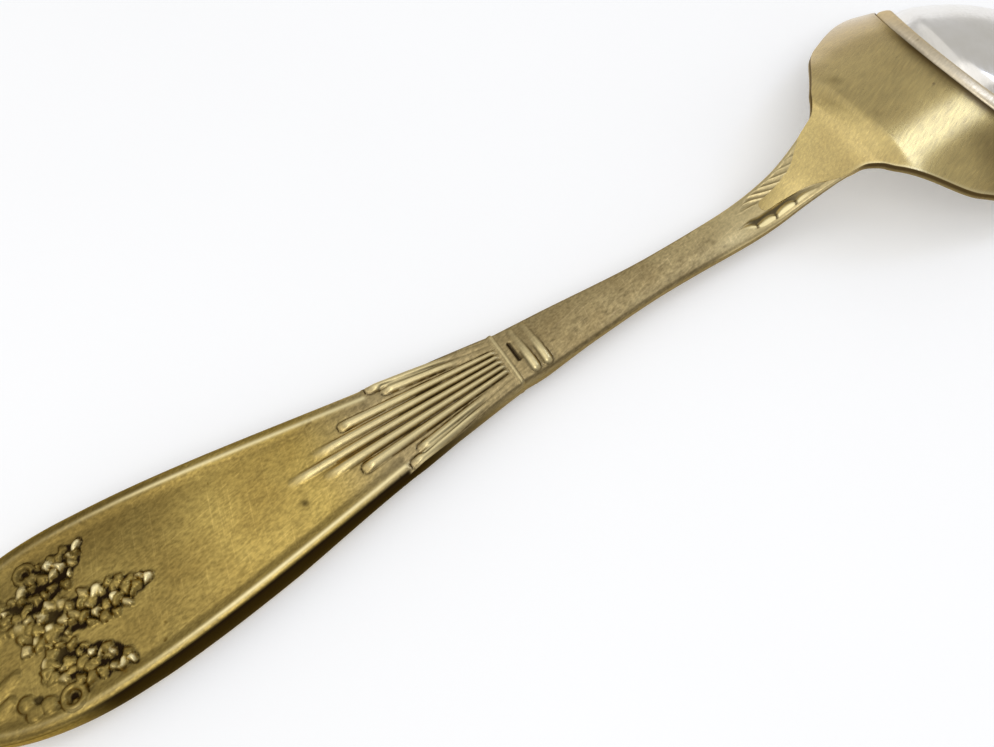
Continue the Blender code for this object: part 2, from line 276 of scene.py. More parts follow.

# Leaves beside the tongue: lobes along the near edge, veins along the far edge, with painted shade and
# painted highlights
LEAF_START = 30.2
LEAF_END = 41.4
NEAR_LEAF_SHIFT = 0.9
LEAF_WIDTH = 1.3
LEAF_TIP_WIDTH = 0.15
LEAF_RIM = 0.45
LEAF_CURL = 1.1
LEAF_CURL_RUN = (0.0, 0.3)
LEAF_OPENING = (0.0, 0.25)
LEAF_CLOSING = (0.55, 0.45)
LEAF_INNER_EDGE = (0.0, 0.2)
LEAF_OUTER_EDGE = (0.95, 0.1)
LEAF_SINK = 0.34
LOBE_PITCH = 2.3
LOBE_SLANT = 0.4
LOBE_FOOT = 0.6
LOBE_ARCH = 0.35
LOBE_EDGE = 0.15
LOBE_SLOPE = 0.45
LOBE_SHADE = 0.85
LOBE_SHADE_RUN = (0.08, 0.12)
NOTCH_WIDTH = 0.18
NOTCH_DEPTH = 0.5
NOTCH_SHADE = 0.8
VEIN_PITCH = 1.25
VEIN_SLANT = 1.6
VEIN_HALF = 0.38
VEIN_HEIGHT = 0.16
VEIN_SHADE = 0.25
VEIN_HIGHLIGHT = 0.7

# Grime and painted shade on the handle, from 0 for clean to 1 for black
PANEL_SHADES = ((-58.0, 0.52), (-46.0, 0.44), (-40.0, 0.44), (-29.0, 0.0))
FAR_PANEL_SHADE = 0.12
FAR_PANEL_RUN = (0.0, 5.0)
FAR_PANEL_FADE = (-32.0, 6.0)
GROOVE_GRIME = 0.8
RIDGE_GRIME = 0.6
HOLLOW_REACH = 6
HOLLOW_DEPTH = 0.2
HOLLOW_GRIME = 0.3
SPRAY_HOLLOW_GRIME = 0.75
SPRAYS_END = -38.0
# Painted shade in the cove inside the border
COVE_AT = 0.75
COVE_HALF = 0.5
COVE_SHADE = 0.3
FAR_COVE_SHADE = 0.15
FAR_COVE_RUN = (0.0, 3.0)
# Painted shade on the walls of the handle and along its edges
END_SHADE = 0.3
END_SHADE_RUN = (-54.0, 8.0)
FAR_SHADE_FADE = (-24.0, 12.0)
FAR_EDGE_SHADE = 0.7
FAR_EDGE_CLEAR = 0.2
NEAR_SHADE_LOSS = 0.55
NEAR_SHADE_FADE = (-14.0, 16.0)
NEAR_EDGE_RUN = (0.15, 0.3)
STEM_SHADE_START = (-14.0, 4.0)
STEM_SHADE_END = (24.0, 4.0)
STEM_EDGE_SHADE = 0.6
STEM_EDGE_RUN = (0.0, 0.4)
STEM_WALL_SHADE = 0.55
FAR_WALL_SHADE = 0.6
# Grime under the handle, and a stain on the panel
UNDER_GRIME = 0.25
UNDER_RELIEF_GRIME = 0.5
STAIN_AT = (-24.9, -2.4)
STAIN_RADIUS = 0.45
STAIN_GRIME = 0.8

# Worn pits: seed, count, range along the handle, range across it and grime
WEAR = (
    (3, 90, (4.5, 27.0), (-1.9, 0.3), 0.4),
    (4, 160, (-33.0, -19.0), (-5.0, 5.0), 0.3),
)
WEAR_RADII = (0.12, 0.3)
WEAR_SHARES = (0.3, 1.0)
WEAR_STRETCH = 1.6

# Polish and painted highlights on the handle
REED_SHINE = 0.65
REED_SHINE_FULL = 0.9
RIDGE_SHINE = 0.6
CREST_HALF = 0.2
CREST_END_SHARE = 0.2
CREST_RUN = (-50.0, 18.0)
STEM_LIGHTENING = 0.3
STEM_LIGHTENING_RUN = (20.0, 14.0)
WALL_PALING = 0.15
WALL_PALING_RUN = (-20.0, 12.0)
PALE_RUN = (-24.0, 10.0)

# Rim of the cradle with its painted shade and painted highlight, painted shade before the lip and on the near
# flank, and stains as place, side, radius and grime
RIM_SHARES = (1.0, 0.5, 0.12)
RIM_TURN_RUN = (STEM_END - 2.0, 2.0)
RIM_SHADE = 0.95
RIM_PAINT_RUN = (STEM_END - 1.0, 2.0)
RIM_SHADE_LOSS = 0.75
RIM_SHADE_FADE = (58.0, 6.0)
RIM_FOOT_SHADE = 0.6
CRADLE_EDGE_SHADE = 0.5
LIP_SHADE = 0.95
LIP_SHADE_REACH = 1.25
FAR_LIP_LOSS = 0.7
FAR_LIP_RUN = (0.3, 0.5)
NEAR_LIP_LOSS = 0.8
NEAR_LIP_RUN = (0.65, 0.3)
FLANK_SHADE = 0.42
FLANK_START = (51.5, 4.0)
FLANK_END = (58.0, 5.0)
FLANK_SIDE = (0.4, 0.2)
HEEL_STAINS = ((47.1, 6.1, 0.8, 0.35), (46.8, -0.4, 0.5, 0.2))
RIM_HIGHLIGHT = 0.5
RIM_HIGHLIGHT_REACH = 0.25

# Fineness of the meshes: the handle's rows run up to each place in steps, its end in turns
HANDLE_ROWS = ((-37.0, 0.14), (-27.0, 0.2), (4.0, 0.15), (28.5, 0.2), (STEM_END, 0.1))
HANDLE_END_TURNS = (88.0, 50.0, 26)
HANDLE_COLUMNS = 141
UNDER_COLUMNS = 71
EDGE_CROWDING = 0.35
TONGUE_TIP_TURNS = (18.0, 35.0, 52.0, 70.0, 90.0)
TONGUE_ROW_GAP = 0.25
TONGUE_ROWS = 34
NECK_ROWS = 22
HEEL_ROWS = 90
CRADLE_COLUMNS = 97
BOWL_ROWS = 60
BOWL_TIP_TURN = 88.0
BOWL_COLUMNS = 121
WIRE_ROWS = 141
WIRE_SIDES = 28
WIRE_ALONG = 0.05
WIRE_ASIDE = 0.004
LIP_HALVINGS = 40
SHARP_ANGLE = 60.0

# Camera
CAMERA_PLACE = (-30.84, -32.97, 76.59)
CAMERA_RIGHT = (0.8405, -0.5412, -0.0255)
CAMERA_UP = (0.4928, 0.7441, 0.4510)
CAMERA_LENS = 29.15
CAMERA_SENSOR = 36.0
CAMERA_CLIP = 0.005

# Soft lights in metres: azimuth, elevation, width, height, power and colour, and a strip above the spoon
WHITE = (1.0, 1.0, 1.0)
COOL = (0.85, 1.0, 1.4)
LIGHTS = (
    (357.0, 45.0, 0.17, 0.17, 0.18, COOL),
    (150.0, 52.0, 0.46, 0.46, 0.23, WHITE),
    (112.0, 70.0, 0.3, 0.3, 0.06, WHITE),
    (235.0, 55.0, 0.4, 0.4, 0.75, WHITE),
    (53.0, 40.0, 0.2, 0.8, 0.1, WHITE),
)
LIGHT_DISTANCE = 0.6
STRIP_PLACE = (0.12, 0.05, 0.6)
STRIP_SIZE = (0.8, 0.3)
STRIP_POWER = 0.38
SKY_STRENGTH = 0.55

# Floor in metres
FLOOR_HALF = 1.2
FLOOR_DROP = 0.0001
FLOOR_GLOW = 0.16
FLOOR_TONES = ((0.3, (0.91, 0.91, 0.91)), (0.7, (0.93, 0.93, 0.93)))
FLOOR_SCALE = 14.0
FLOOR_ROUGHNESS = 0.9

# Brass: the stem is paler than the panel, the crests are worn bright and carry painted highlights, and grime
# and painted shade are dull
PALE_TINT = (0.85, 0.92, 1.62)
SHINE = (0.9, 0.77, 0.42)
EDGE_TINT = (0.85, 0.7, 0.45, 1.0)
CLOUD_SCALE = 170.0
CLOUD_RANGE = (0.35, 0.65)
GRAIN_SCALE = 4200.0
GRAIN_RANGE = (0.3, 0.7)
SPECK_SCALE = 700.0
SPECK_TONES = ((0.2, (0.5, 0.45, 0.35)), (0.27, WHITE))
SCRATCH_SCALE = 5200.0
SCRATCH_STRETCH = 30.0
SCRATCH_TONES = ((0.6, WHITE), (0.75, (1.2, 1.2, 1.25)))
GRIME_ROUGHNESS = 0.6
BUMP_STRENGTH = 0.25
BUMP_METRES = 0.000006
LACQUER_IOR = 1.75
LACQUER_ROUGHNESS = 0.2

# Silver plate
SILVER_SCALE = 140.0
SILVER_TONES = ((0.3, (0.81, 0.77, 0.69)), (0.65, (0.91, 0.88, 0.83)))
WIPING_SCALE = 3800.0
WIPING_STRETCH = 20.0
WIPING_TURN = 60.0
WIPING_ROUGHNESS = (0.14, 0.26)

# Colour sockets of a mix node
MIX_FACTOR = 0
MIX_FIRST = 6
MIX_SECOND = 7
MIX_RESULT = 2

# Sizes that follow
MM = 0.001
CENTRE_SHIFT = (HANDLE_LENGTH - TIP_AT + CRADLE_THICKNESS + JOINT_GAP) / 2.0
HANDLE_WIDEST_AT = HANDLE_END_ROUND - HANDLE_LENGTH
TIP_ROUND = TIP_AT - BOWL_WIDEST_AT


# Curves
def smooth_through(points):
    """A curve through the points that never overshoots them."""
    xs = np.array([point[0] for point in points], float)
    ys = np.array([point[1] for point in points], float)
    steps = np.diff(xs)
    rises = np.diff(ys) / steps
    slopes = np.zeros(len(xs))
    for i in range(1, len(xs) - 1):
        if rises[i - 1] * rises[i] > 0.0:
            slopes[i] = 2.0 * rises[i - 1] * rises[i] / (rises[i - 1] + rises[i])

    def curve(x):
        x = np.clip(x, xs[0], xs[-1])
        i = np.clip(np.searchsorted(xs, x, side="right") - 1, 0, len(steps) - 1)
        s = (x - xs[i]) / steps[i]
        start = (1.0 + 2.0 * s) * (1.0 - s) ** 2 * ys[i] + s * (1.0 - s) ** 2 * steps[i] * slopes[i]
        end = s * s * (3.0 - 2.0 * s) * ys[i + 1] + s * s * (s - 1.0) * steps[i] * slopes[i + 1]
        return start + end

    return curve


def smooth(s):
    s = np.clip(s, 0.0, 1.0)
    return s * s * (3.0 - 2.0 * s)


def rise(value, run):
    """0 before the run, 1 after it, smooth between."""
    start, length = run
    return smooth((value - start) / length)


def fall(value, run):
    return 1.0 - rise(value, run)


def blend(first, last, share):
    return first + (last - first) * share


def bell(distance, width):
    """1 at no distance, falling off on both sides."""
    return np.exp(-((distance / width) ** 2))


stem_width = smooth_through((
    (0.0, COLLAR_WIDTH),
    (WAIST_AT, STEM_WIDTH),
    (NECK_START, NECK_WIDTH),
    (NECK_END, NECK_END_WIDTH),
    (HEEL_AT, HEEL_WIDTH),
    (SHOULDER_AT, SHOULDER_WIDTH),
    (BOWL_WIDEST_AT, BOWL_WIDTH),
))
edge_height = smooth_through((
    (HEEL_AT, HEEL_EDGE_HEIGHT),
    (SHOULDER_AT, SHOULDER_EDGE_HEIGHT),
    (RIM_LEVEL_AT, RIM_HEIGHT),
))
crown_of = smooth_through(tuple(zip(CROWN_CHANGE, (HANDLE_CROWN, STEM_CROWN))))
fullness_of = smooth_through(tuple(zip(CROWN_CHANGE, (HANDLE_FULLNESS, STEM_FULLNESS))))
handle_thickness = smooth_through((
    (-HANDLE_LENGTH, HANDLE_END_THICKNESS),
    (HANDLE_BELLY_AT, HANDLE_THICKNESS),
    (HANDLE_TAPER_AT, HANDLE_TAPER_THICKNESS),
    (0.0, COLLAR_THICKNESS),
    (STEM_TAPER_AT, STEM_THICKNESS),
    (STEM_END, STEM_END_THICKNESS),
))
panel_shade = smooth_through(PANEL_SHADES)


# Outline and back of the spoon
def half_width(x):
    x = np.asarray(x, float)
    end = np.clip((HANDLE_WIDEST_AT - x) / HANDLE_END_ROUND, 0.0, 1.0)
    round_end = HANDLE_WIDTH / 2.0 * np.sqrt(1.0 - end ** HANDLE_END_POWER)
    round_end = round_end + 4.0 * HANDLE_BULGE * end * (1.0 - end)
    s = np.clip(1.0 - x / HANDLE_WIDEST_AT, 0.0, 1.0)
    taper = (1.0 - s) * (1.0 + HANDLE_TAPER_FULLNESS * s * (1.0 - s) ** 2)
    handle = blend(COLLAR_WIDTH, HANDLE_WIDTH, taper) / 2.0
    tip = np.clip((x - BOWL_WIDEST_AT) / TIP_ROUND, 0.0, 1.0)
    round_tip = BOWL_WIDTH / 2.0 * np.sqrt(1.0 - tip * tip)
    return np.where(
        x < HANDLE_WIDEST_AT,
        round_end,
        np.where(x < 0.0, handle, np.where(x < BOWL_WIDEST_AT, stem_width(x) / 2.0, round_tip)),
    )


def middle_height(x):
    s = np.clip((x - RAMP_START) / (RAMP_END - RAMP_START), 0.0, 1.0)
    rising = blend(HANDLE_HEIGHT, CREST_HEIGHT, smooth(s ** RAMP_POWER))
    s = np.clip((x - CREST_AT) / (TIP_AT - CREST_AT), 0.0, 1.0)
    falling = blend(RIM_HEIGHT, CREST_HEIGHT, (1.0 - s ** DOME_POWER) ** DOME_FULLNESS)
    return np.where(x < CREST_AT, rising, falling)


def back_height(x, v):
    """Height of the plain back, where v runs from -1 at the near edge to 1 at the far edge."""
    middle = middle_height(x)
    crown = crown_of(x) * (1.0 - smooth((x - RAMP_START) / (HEEL_AT - RAMP_START)))
    crown = crown * np.minimum(half_width(x) / (STEM_WIDTH / 2.0), 1.0) ** 2
    crown = crown + np.maximum(middle - HEEL_EDGE_HEIGHT, 0.0)
    drop = np.where(x < HEEL_AT, crown, np.maximum(middle - edge_height(x), 0.0))
    return middle - drop * np.abs(v) ** fullness_of(x)


def back_points(x, v):
    x, v = np.broadcast_arrays(np.asarray(x, float), np.asarray(v, float))
    return np.stack([x, half_width(x) * v, back_height(x, v)], axis=-1)


def grid_normals(points):
    run = np.gradient(points, axis=0)
    across = np.gradient(points, axis=1)
    normals = np.cross(run, across)
    return normals / np.maximum(np.linalg.norm(normals, axis=-1, keepdims=True), 1e-9)


# Relief shapes
def ridge(distance, half, height):
    return height * np.sqrt(np.clip(1.0 - (distance / half) ** 2, 0.0, 1.0))


def swell(distance, half, height):
    return height * np.clip(1.0 - (distance / half) ** 2, 0.0, 1.0)


def dome(distance, radius, height):
    return height * np.clip(1.0 - (distance / radius) ** 2, 0.0, 1.0) ** BUD_FULLNESS


def segment_distance(x, y, start, end):
    dx = end[0] - start[0]
    dy = end[1] - start[1]
    share = np.clip(((x - start[0]) * dx + (y - start[1]) * dy) / (dx * dx + dy * dy), 0.0, 1.0)
    return np.hypot(x - start[0] - dx * share, y - start[1] - dy * share), share


def quarter_round(inside, size):
    """Fall from 0 inside to 1 at the edge, round like a quarter circle."""
    return 1.0 - np.sqrt(1.0 - (1.0 - np.clip(inside / size, 0.0, 1.0)) ** 2)


# Edge and border of the handle
def edge_distance(x, y):
    """How far a spot lies inside the handle's outline, also round its end."""
    aside = half_width(x) - np.abs(y)
    share = np.clip(np.abs(y) / (HANDLE_WIDTH / 2.0 + HANDLE_BULGE), 0.0, 1.0)
    reach = HANDLE_END_ROUND * (1.0 - share * share) ** (1.0 / HANDLE_END_POWER)
    inward = np.maximum(x - HANDLE_WIDEST_AT + reach, 0.0)
    return aside * inward / np.maximum(np.hypot(aside, inward), 1e-6)


def far_share(y):
    """0 on the near side, 1 on the far side, smooth between."""
    return smooth(0.5 + y / SIDE_BLEND)


def border_round(y):
    return blend(BORDER_ROUND, FAR_BORDER_ROUND, far_share(y))


def bordered(x):
    """1 as far as the border runs, 0 beyond its end."""
    return 1.0 - smooth((x - BORDER_END + BORDER_FADE) / BORDER_FADE)


def edge_profile(x, y):
    """Rounded edge, and the raised border with the sunk panel inside it as far as the border runs."""
    inside = edge_distance(x, y)
    plain = -EDGE_ROUND * quarter_round(inside, EDGE_ROUND)
    sink = PANEL_SINK * fall(x, PANEL_FADE)
    border = BORDER_HEIGHT - (BORDER_HEIGHT + BORDER_DROP) * quarter_round(inside, border_round(y))
    border = border - (BORDER_HEIGHT + sink) * smooth((inside - border_round(y)) / BORDER_COVE)
    return blend(plain, border, bordered(x))


# Ornament of the handle
def reeds(x, y):
    """Nine reeds that run together at the collar: their height, and the dark grooves along them."""
    height = np.zeros_like(x)
    groove = np.zeros_like(x)
    for rank, (tip_x, tip_y) in enumerate(REED_TIPS):
        length = REED_FOOT_AT - tip_x
        fade = REED_SOFT_TIP if rank < REED_SOFT_RANKS else REED_CRISP_TIP
        for side in (1.0, -1.0) if rank else (1.0,):
            foot = (REED_FOOT_AT, side * rank * REED_SPREAD)
            distance, share = segment_distance(x, y, (tip_x, side * tip_y), foot)
            half = blend(REED_HALF, REED_FOOT_HALF, share)
            from_tip = share * length
            kept = smooth(REED_TIP_SHARE + from_tip / fade)
            kept = kept * smooth((length - from_tip) / REED_FOOT_RUN)
            if rank >= REED_WORN_RANK:
                kept = kept * (1.0 - REED_WORN * rise(share, REED_WORN_RUN))
            tall = blend(REED_HEIGHT, REED_FOOT_HEIGHT, share) * kept
            height = np.maximum(height, swell(distance, half, tall))
            depth = smooth(GROOVE_START + GROOVE_DEEPENING * share) * kept
            if rank >= REED_SOFT_RANKS:
                depth = np.maximum(depth, 1.0 - smooth(from_tip / GROOVE_TIP))
            groove = np.maximum(groove, depth * bell(distance - half, GROOVE_HALF))
    return height, groove


def collar(x, y):
    """The line, the slot and the two worn ridges of the collar: their height, and the dark round them."""
    height = ridge(x - COLLAR_LINE_AT, COLLAR_LINE_HALF, COLLAR_LINE_HEIGHT)
    dark = np.zeros_like(x)
    kept = blend(RIDGE_WORN_HEIGHT, 1.0, rise(-y, RIDGE_WORN_RUN))
    half = RIDGE_HALF * blend(RIDGE_WORN_HALF, 1.0, kept)
    past_end = np.maximum(np.abs(y) - half_width(x) + RIDGE_INSET, 0.0)
    for place in RIDGES_AT:
        distance = np.hypot(x - place, past_end)
        height = np.maximum(height, ridge(distance, half, RIDGE_HEIGHT * kept))
        dark = np.maximum(dark, RIDGE_GRIME * kept * bell(distance - half, RIDGE_GROOVE))
    from_slot, _ = segment_distance(x, y, *SLOT_ENDS)
    slot = fall(from_slot, SLOT_EDGE)
    return height - SLOT_DEPTH * slot, np.maximum(dark, slot)


def spray_buds(tip, root, spread, chance):
    """Buds in five staggered lanes along a stalk, as place, radius, height and tone."""
    stalk = np.array(root) - np.array(tip)
    length = np.hypot(stalk[0], stalk[1])
    along = stalk / length
    aside = np.array((-along[1], along[0]))
    grown = [(np.array(tip), BUD_RADIUS, BUD_HEIGHT, 1.0)]
    for i in range(1, int(length / BUD_PITCH) + 1):
        for lane in BUD_LANES:
            shift = 0.5 * BUD_PITCH if abs(lane) == 0.5 else 0.0
            reach = spread * min(1.0, BUD_SPREADING * (1 + i))
            jitter = chance.uniform(-BUD_JITTER, BUD_JITTER, 2)
            radius = BUD_RADIUS * chance.uniform(*BUD_RADII)
            tall = BUD_HEIGHT * chance.uniform(*BUD_HEIGHTS)
            tone = chance.uniform(-1.0, 1.0)
            if chance.random() > BUD_LOSS:
                place = tip + along * (BUD_PITCH * i - shift + jitter[0]) + aside * (lane * reach + jitter[1])
                grown.append((place, radius, tall, tone))
    return grown


def wobbled(x, y):
    """Places shifted by small waves, so that no two buds look alike."""
    bent_x = x + BUD_WOBBLE * np.sin(3.7 * y + 1.1) + BUD_RIPPLE * np.sin(6.1 * x - 2.3 * y)
    bent_y = y + BUD_WOBBLE * np.sin(4.3 * x + 0.4) + BUD_RIPPLE * np.sin(5.3 * y + 3.1 * x)
    return bent_x, bent_y


def sprays(x, y):
    """Three sprays of buds: their height, the dark pits between them, and painted highlights on the tops of
    some buds.
    """
    chance = np.random.default_rng(SPRAY_SEED)
    bent_x, bent_y = wobbled(x, y)
    height = np.zeros_like(x)
    dark = np.zeros_like(x)
    tones = np.zeros_like(x)
    for tip, root, spread in SPRAYS:
        distance, share = segment_distance(bent_x, bent_y, tip, root)
        faded = 1.0 - SPRAY_FADE * rise(share, SPRAY_FADE_RUN)
        reach = spread * np.minimum(1.0, HULL_TIP + HULL_WIDENING * share)
        hull = 1.0 - smooth((distance - reach - HULL_MARGIN) / HULL_SOFTNESS)
        hull = hull * fall(share, HULL_END)
        spray = np.zeros_like(x)
        for place, radius, tall, tone in spray_buds(tip, root, spread, chance):
            bud = dome(np.hypot(bent_x - place[0], bent_y - place[1]), radius, tall) * faded
            tones = np.where(bud > np.maximum(spray, height), tone, tones)
            spray = np.maximum(spray, bud)
        pits = hull * faded * fall(spray, PIT_RUN)
        dark = np.maximum(dark * (spray < BUD_FOOT), pits)
        height = np.maximum(height, spray)
    dark = np.maximum(dark, BUD_DULLNESS * np.clip(-tones, 0.0, 1.0) * (height > BUD_FOOT))
    # painted highlights on the tops of the buds with a high tone
    bright = BUD_BRIGHTNESS * np.clip(tones, 0.0, 1.0) * rise(height, BUD_BRIGHT_RUN)
    return height - PIT_DEPTH * dark, dark, bright


def petal_distance(x, y, place, side, reach, turn):
    return np.hypot(x - place - reach * math.cos(turn), y - side - reach * math.sin(turn))


def trims(x, y, height, dark):
    """Leaflets, rings, trefoils and rosettes added to the sprays' height and dark."""
    for foot, head in LEAFLETS:
        distance, share = segment_distance(x, y, foot, head)
        half = LEAFLET_HALF * blend(LEAFLET_END_SHARE, 1.0, np.sin(math.pi * share))
        height = np.maximum(height, swell(distance, half, LEAFLET_HEIGHT))
        dark = np.maximum(dark, LEAFLET_GRIME * bell(distance - half, LEAFLET_GROOVE))
    for place, side, radius in RINGS:
        distance = np.hypot(x - place, y - side)
        bead = dome(np.hypot(x - place, y - side + RING_BEAD_SHIFT), RING_BEAD_RADIUS, RING_BEAD_HEIGHT)
        hole = 1.0 - smooth((distance - RING_HOLE * radius) / RING_HOLE_EDGE)
        height = np.maximum.reduce((height, ridge(distance - radius, RING_HALF, RING_HEIGHT), bead))
        dark = np.maximum(dark, hole * (bead < BUD_FOOT))
    for place, side, radius in TREFOILS:
        for turn in TREFOIL_TURNS:
            distance = petal_distance(x, y, place, side, radius, turn)
            height = np.maximum(height, dome(distance, TREFOIL_PETAL * radius, TREFOIL_HEIGHT))
        pit = fall(np.hypot(x - place, y - side), TREFOIL_PIT)
        dark = np.maximum(dark, TREFOIL_GRIME * pit)
    for place, side, radius in ROSETTES:
        for petal in range(ROSETTE_PETALS):
            turn = 2.0 * math.pi * petal / ROSETTE_PETALS
            distance = petal_distance(x, y, place, side, ROSETTE_REACH * radius, turn)
            height = np.maximum(height, dome(distance, ROSETTE_PETAL * radius, ROSETTE_HEIGHT))
        eye = dome(np.hypot(x - place, y - side), ROSETTE_EYE * radius, ROSETTE_EYE_HEIGHT)
        height = np.maximum(height, eye)
    return height, dark


def tongue_half(x):
    tip = np.clip(x - TONGUE_TIP, 0.0, TONGUE_TIP_RADIUS)
    round_tip = np.sqrt(np.maximum(TONGUE_TIP_RADIUS ** 2 - (TONGUE_TIP_RADIUS - tip) ** 2, 0.0))
    widening = smooth_through((
        (TONGUE_TIP + TONGUE_TIP_RADIUS, TONGUE_TIP_RADIUS),
        (TONGUE_MIDDLE_AT, TONGUE_MIDDLE_WIDTH / 2.0),
        (STEM_END, float(half_width(STEM_END))),
    ))(x)
    return np.where(x < TONGUE_TIP + TONGUE_TIP_RADIUS, round_tip, np.minimum(widening, half_width(x)))


def leaf_places(x, y):
    """Share along a leaf, way in from its rim, share across it from inside, and how far it has opened."""
    along = np.clip((x + NEAR_LEAF_SHIFT * (y < 0.0) - LEAF_START) / (LEAF_END - LEAF_START), 0.0, 1.0)
    lens = rise(along, LEAF_OPENING) * fall(along, LEAF_CLOSING)
    curl = LEAF_CURL * fall(along, LEAF_CURL_RUN)
    inward = half_width(x) - LEAF_RIM - curl - np.abs(y)
    across = 1.0 - inward / (LEAF_TIP_WIDTH + LEAF_WIDTH * lens)
    within = lens * rise(across, LEAF_INNER_EDGE) * fall(across, LEAF_OUTER_EDGE)
    return along, inward, across, within


def in_pitch(distance, pitch):
    """Place within each repeat, from -1 to 1."""
    return 2.0 * (distance / pitch % 1.0) - 1.0


def lobes(x, y):
    """Scooped lobes along the near edge of the neck: height, painted shade in their ground and notches, and
    painted highlights on the lobes.
    """
    along, inward, across, within = leaf_places(x, y)
    place = in_pitch(x + NEAR_LEAF_SHIFT - LEAF_START - LOBE_SLANT * inward, LOBE_PITCH)
    shore = LOBE_FOOT - LOBE_ARCH * np.sqrt(np.clip(1.0 - place ** 2, 0.0, 1.0))
    ground = 1.0 - smooth((across - shore) / LOBE_EDGE)
    slope = 1.0 - smooth((across - shore) / LOBE_SLOPE)
    notch = 1.0 - smooth((1.0 - np.abs(place)) / NOTCH_WIDTH)
    height = -LEAF_SINK * within * np.maximum(slope, NOTCH_DEPTH * notch)
    # painted shade in the lobes' ground and notches, and painted highlights on the lobes
    dark = LOBE_SHADE * within * np.maximum(ground, NOTCH_SHADE * notch) * rise(along, LOBE_SHADE_RUN)
    return height, dark, within * (1.0 - ground) * (1.0 - notch)


def veins(x, y):
    """Fine slanting veins along the far edge of the neck: height, painted shade between them, and painted
    highlights on them.
    """
    _, inward, _, within = leaf_places(x, y)
    place = in_pitch(x - LEAF_START - VEIN_SLANT * inward, VEIN_PITCH)
    vein = within * bell(place, VEIN_HALF)
    # painted highlights on the veins and painted shade between them
    return VEIN_HEIGHT * (vein - 0.5 * within), VEIN_SHADE * (within - vein), VEIN_HIGHLIGHT * vein


def leaves(x, y):
    """Lobes on the near side and veins on the far side: height, painted shade and painted highlights."""
    return [np.where(y < 0.0, near, far) for near, far in zip(lobes(x, y), veins(x, y))]


def ornament(x, y):
    """Struck relief over the plain back: its height, the dark in its hollows with painted shade in the
    leaves, and the shine on its crests with painted highlights on buds and leaves.
    """
    reed, groove = reeds(x, y)
    band, slot = collar(x, y)
    spray, pits, buds = sprays(x, y)
    spray, pits = trims(x, y, spray, pits)
    leaf, leaf_shade, bright = leaves(x, y)
    height = edge_profile(x, y) + reed - GROOVE_DEPTH * groove + band + spray + leaf
    dark = np.maximum.reduce((GROOVE_GRIME * groove, slot, pits, leaf_shade))
    reed_shine = REED_SHINE * smooth(reed / (REED_SHINE_FULL * REED_HEIGHT))
    band_shine = RIDGE_SHINE * smooth(band / RIDGE_HEIGHT)
    return height, dark, np.maximum.reduce((reed_shine, band_shine, buds, bright))


def blurred(field, count):
    """Mean over a square of neighbours, count to each side."""
    for axis in (0, 1):
        width = [(0, 0), (0, 0)]
        width[axis] = (count + 1, count)
        total = np.cumsum(np.pad(field, width, mode="edge"), axis=axis)
        size = field.shape[axis]
        high = np.take(total, np.arange(2 * count + 1, 2 * count + 1 + size), axis)
        low = np.take(total, np.arange(size), axis)
        field = (high - low) / (2 * count + 1)
    return field


def crowded_sides(count):
    """Places across the back from -1 to 1, closer together towards the edges."""
    return np.sin(np.linspace(-1.0, 1.0, count) * math.pi / 2.0)


def stepped(start, stops):
    """Places from start through each (end, step)."""
    places = [start]
    for end, step in stops:
        count = max(int(round((end - start) / step)), 1)
        places.extend(start + (end - start) * (i + 1) / count for i in range(count))
        start = end
    return np.array(places)


# Mesh making
def mesh_object(name, points, faces, attributes):
    mesh = bpy.data.meshes.new(name)
    shifted = np.asarray(points, float) * MM
    shifted[:, 0] += CENTRE_SHIFT * MM
    mesh.from_pydata(shifted.tolist(), [], faces)
    for key, values in attributes.items():
        layer = mesh.attributes.new(key, "FLOAT", "POINT")
        layer.data.foreach_set("value", np.asarray(values, np.float32).ravel())
    work = bmesh.new()
    work.from_mesh(mesh)
    bmesh.ops.recalc_face_normals(work, faces=work.faces)
    work.to_mesh(mesh)
    work.free()
    mesh.polygons.foreach_set("use_smooth", [True] * len(mesh.polygons))
    mesh.set_sharp_from_angle(angle=math.radians(SHARP_ANGLE))
    made = bpy.data.objects.new(name, mesh)
    bpy.context.scene.collection.objects.link(made)
    return made


def looped(name, loops, attributes):
    """A closed body from closed loops of points, capped at both ends."""
    rows, around = loops.shape[:2]
    i, j = np.meshgrid(np.arange(rows - 1), np.arange(around), indexing="ij")
    a = i * around + j
    b = i * around + (j + 1) % around
    faces = np.stack([a, a + around, b + around, b], axis=-1).reshape(-1, 4).tolist()
    faces.append(list(range(around)))
    faces.append(list(range(rows * around - 1, (rows - 1) * around - 1, -1)))
    return mesh_object(name, loops.reshape(-1, 3), faces, attributes)


def shell(name, top, thickness, attributes):
    """A closed shell: the top grid, its copy pushed in along the normals, and walls between their edges."""
    under = top - grid_normals(top) * thickness
    top = top.copy()
    top[..., 2] = np.maximum(top[..., 2], 0.0)
    under[..., 2] = np.maximum(under[..., 2], 0.0)
    rows, columns = top.shape[:2]
    index = np.arange(rows * columns).reshape(rows, columns)
    offset = rows * columns
    corners = [index[:-1, :-1], index[1:, :-1], index[1:, 1:], index[:-1, 1:]]
    quads = np.stack(corners, axis=-1).reshape(-1, 4)
    faces = quads.tolist() + (quads[:, ::-1] + offset).tolist()
    ring = np.concatenate([index[0, :], index[1:, -1], index[-1, -2::-1], index[-2:0:-1, 0]])
    after = np.roll(ring, -1)
    faces += np.stack([ring, after, after + offset, ring + offset], axis=-1).tolist()
    points = np.concatenate([top.reshape(-1, 3), under.reshape(-1, 3)])
    doubled = {key: np.concatenate([value.ravel(), value.ravel()]) for key, value in attributes.items()}
    return mesh_object(name, points, faces, doubled)


